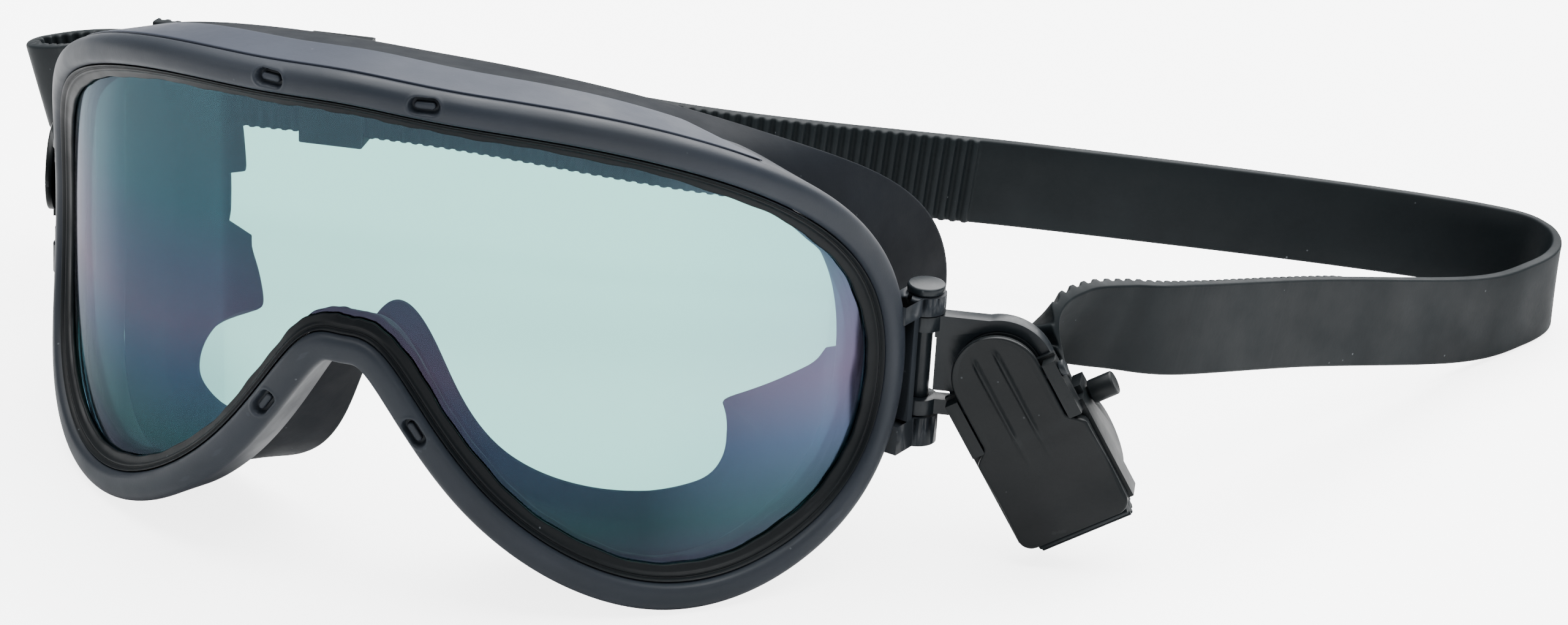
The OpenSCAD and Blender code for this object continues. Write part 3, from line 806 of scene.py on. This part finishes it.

# %% [markdown]
# ## The strap
# The strap is a rubber band 16 mm wide. Near both ends its inner face has moulded ribs that the
# buckle's lever grips. It is a rounded rectangle carried on edge along a smooth route, and the
# ribs are waves added to the inner face. It is made in five lengths: the middle stays with the
# frame, and the four lengths at the ends are set in place once and fixed to no moving body.

# %% Strap
STRAP_W, STRAP_T = 16.0, 2.0
strap_route = np.array([[-93.8, 104, 29.1], [-96.6, 109.3, 27.6], [-102.5, 112, 25], [-109.5, 114.5, 23.2],
                        [-110.5, 120.5, 22.6], [-99, 125.6, 24.2], [-72, 124.6, 27], [-38, 128.5, 28],
                        [12, 140, 24], [66, 162, 19.5], [112, 186, 13], [140, 201, 8], [150, 204, 5.5],
                        [154.5, 199, 3.6], [152, 189, 3.2], [144, 172, 5], [124.5, 131, 16.5],
                        [109.5, 97, 25.5], [101, 86.5, 28.6], [95, 80.5, 29.8], [90.8, 75.5, 29.3],
                        [89.4, 71.9, 26.8], [90.4, 70.1, 22.9], [93.1, 70.7, 17.4]])
tail_route = np.array([[-94, 129, 26], [-72, 127.9, 27.2], [-56, 128.9, 27.6], [-42, 130.7, 27.9]])
# LEAN_RIGHT is the right buckle's width axis at rest.
LEAN_LEFT, LEAN_RIGHT, UPRIGHT = np.array([[-0.32, 0, 1], [0.838, 0.178, 0.515], [0, 0, 1.0]])


def catmull(points, per_span):
    """A smooth line through every point: the Catmull-Rom cubic of each four neighbours."""
    n = len(points)
    t = np.arange((n - 1) * per_span + 1) / per_span
    i = np.minimum(t.astype(int), n - 2)
    f = (t - i)[:, None]
    a, b, c, d = (points[np.clip(i + k, 0, n - 1)] for k in (-1, 0, 1, 2))
    return (2 * b + (c - a) * f + (2 * a - 5 * b + 4 * c - d) * f ** 2
            + (3 * b - a - 3 * c + d) * f ** 3) / 2


def evenly(line, step):
    """The line with points a fixed length apart, the length up to each, and its share of the route."""
    gone = np.concatenate([[0], np.cumsum(np.linalg.norm(np.diff(line, axis=0), axis=1))])
    at = np.linspace(0, gone[-1], max(2, int(gone[-1] / step)))
    return (np.stack([np.interp(at, gone, line[:, k]) for k in range(3)], -1), at,
            np.interp(at, gone, np.linspace(0, 1, len(line))))


def edge_way(share, spans):
    """Which way the strap's edge points: upright, but for its lean at the left and at the right."""
    a, b = share * spans, (1 - share) * spans
    left, right = np.maximum(0, 1 - ((a - 3.5) / 3) ** 2), np.clip((6 - b) / 3.5, 0, 1)
    return (UPRIGHT + left[:, None] * (LEAN_LEFT - UPRIGHT)
            + right[:, None] * (LEAN_RIGHT - UPRIGHT))


def strap_rings(line, along, way, ribs, rib_side, width=STRAP_W, thick=STRAP_T):
    """Rounded rectangles on edge; ribs(along) is 0 or 1, and raises the face on rib_side."""
    tangent = unit(np.gradient(line, axis=0))
    side = unit(np.cross(tangent, way))
    up = np.cross(side, tangent)
    corner = 0.45
    a = np.radians(np.array([0, 30, 60, 90]))
    turn = np.stack([np.sin(a), 1 - np.cos(a)], -1) * corner
    w, h = thick / 2, width / 2
    quarter = [(w - corner + c, h - d) for c, d in turn]
    loop = quarter + [(w, v) for v in (0.5 * h, 0, -0.5 * h)]
    loop += [(x, -y) for x, y in quarter[::-1]] + [(-x, -y) for x, y in quarter]
    loop += [(-w, v) for v in (-0.5 * h, 0, 0.5 * h)] + [(-x, y) for x, y in quarter[::-1]]
    loop = np.array(loop)
    wave = ribs(along) * np.clip(0.5 + 1.6 * np.cos(along * 2 * math.pi / RIB_PITCH), 0, 1) * RIB_H
    on_side = np.clip(loop[:, 0] * rib_side / w, 0, 1)
    x = loop[None, :, 0] + wave[:, None] * on_side[None] * rib_side
    return line[:, None] + side[:, None] * x[..., None] + up[:, None] * loop[None, :, 1:2]


RIB_PITCH, RIB_H = 2.1, 0.8
RIBBED_LEFT, RIBBED_RIGHT = 200, 90
PER_SPAN, STRAP_STEP = 24, 0.3
line, along, share = evenly(catmull(strap_route, PER_SPAN), STRAP_STEP)
strap_length = along[-1]
print("free strap length, mm:", round(strap_length))


def rib_zone(a):
    """Ribs near both ends of the strap, fading in and out over a millimetre."""
    return np.clip(1 - (a - RIBBED_LEFT), 0, 1) + np.clip(a - (strap_length - RIBBED_RIGHT), 0, 1)


def capped(name, rings):
    """An open sweep whose flat ends have their own points, so that neighbours shade as one."""
    rows, columns = rings.shape[:2]
    points = np.concatenate([rings.reshape(-1, 3), rings[0], rings[-1]])
    first, last = rows * columns, (rows + 1) * columns
    faces = [tuple(f) for f in grid_faces(rows, columns, False, True)]
    faces += [tuple(range(first + columns - 1, first - 1, -1)), tuple(range(last, last + columns))]
    return mesh_piece(name, points, facing_out(points, faces))


way = edge_way(share, len(strap_route) - 1)
rings = strap_rings(line, along, way, rib_zone, 1)
tip_end, bend_end = 9, 36
run_start, curl_start = strap_length - 72, strap_length - 19
# Name, where it begins and ends along the strap, and the bodies at those ends
strap_parts = [("strap_left_tip", 0, tip_end, "buckle_left", "link_left"),
               ("strap_left_bend", tip_end, bend_end, "link_left", "root"),
               ("head_strap", bend_end, run_start, "root", "root"),
               ("strap_right_run", run_start, curl_start, "root", "link_right"),
               ("strap_right_curl", curl_start, strap_length, "link_right", "buckle_right")]
for name, start, end, body_a, body_b in strap_parts:
    a, b = (int(round(v / strap_length * (len(line) - 1))) for v in (start, end))
    piece = capped(name, rings[a:b + 1])
    piece.data.materials.append(strap_rubber)
    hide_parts("strap")
    if body_a == body_b:
        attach(piece, body_a)
    else:
        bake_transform(piece)
line, along, share = evenly(catmull(tail_route, PER_SPAN), STRAP_STEP)
way = np.broadcast_to(UPRIGHT, line.shape)
tail = swept("strap_free_tail", strap_rings(line, along, way, np.ones_like, -1), False)
tail.data.materials.append(strap_rubber)
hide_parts("strap_tail")
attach(tail, "root")
for side in ("right", "left"):
    softened(f"strap_end_{side}", f"strap_end_grip_{side}", 0.15, strap_rubber, 2)
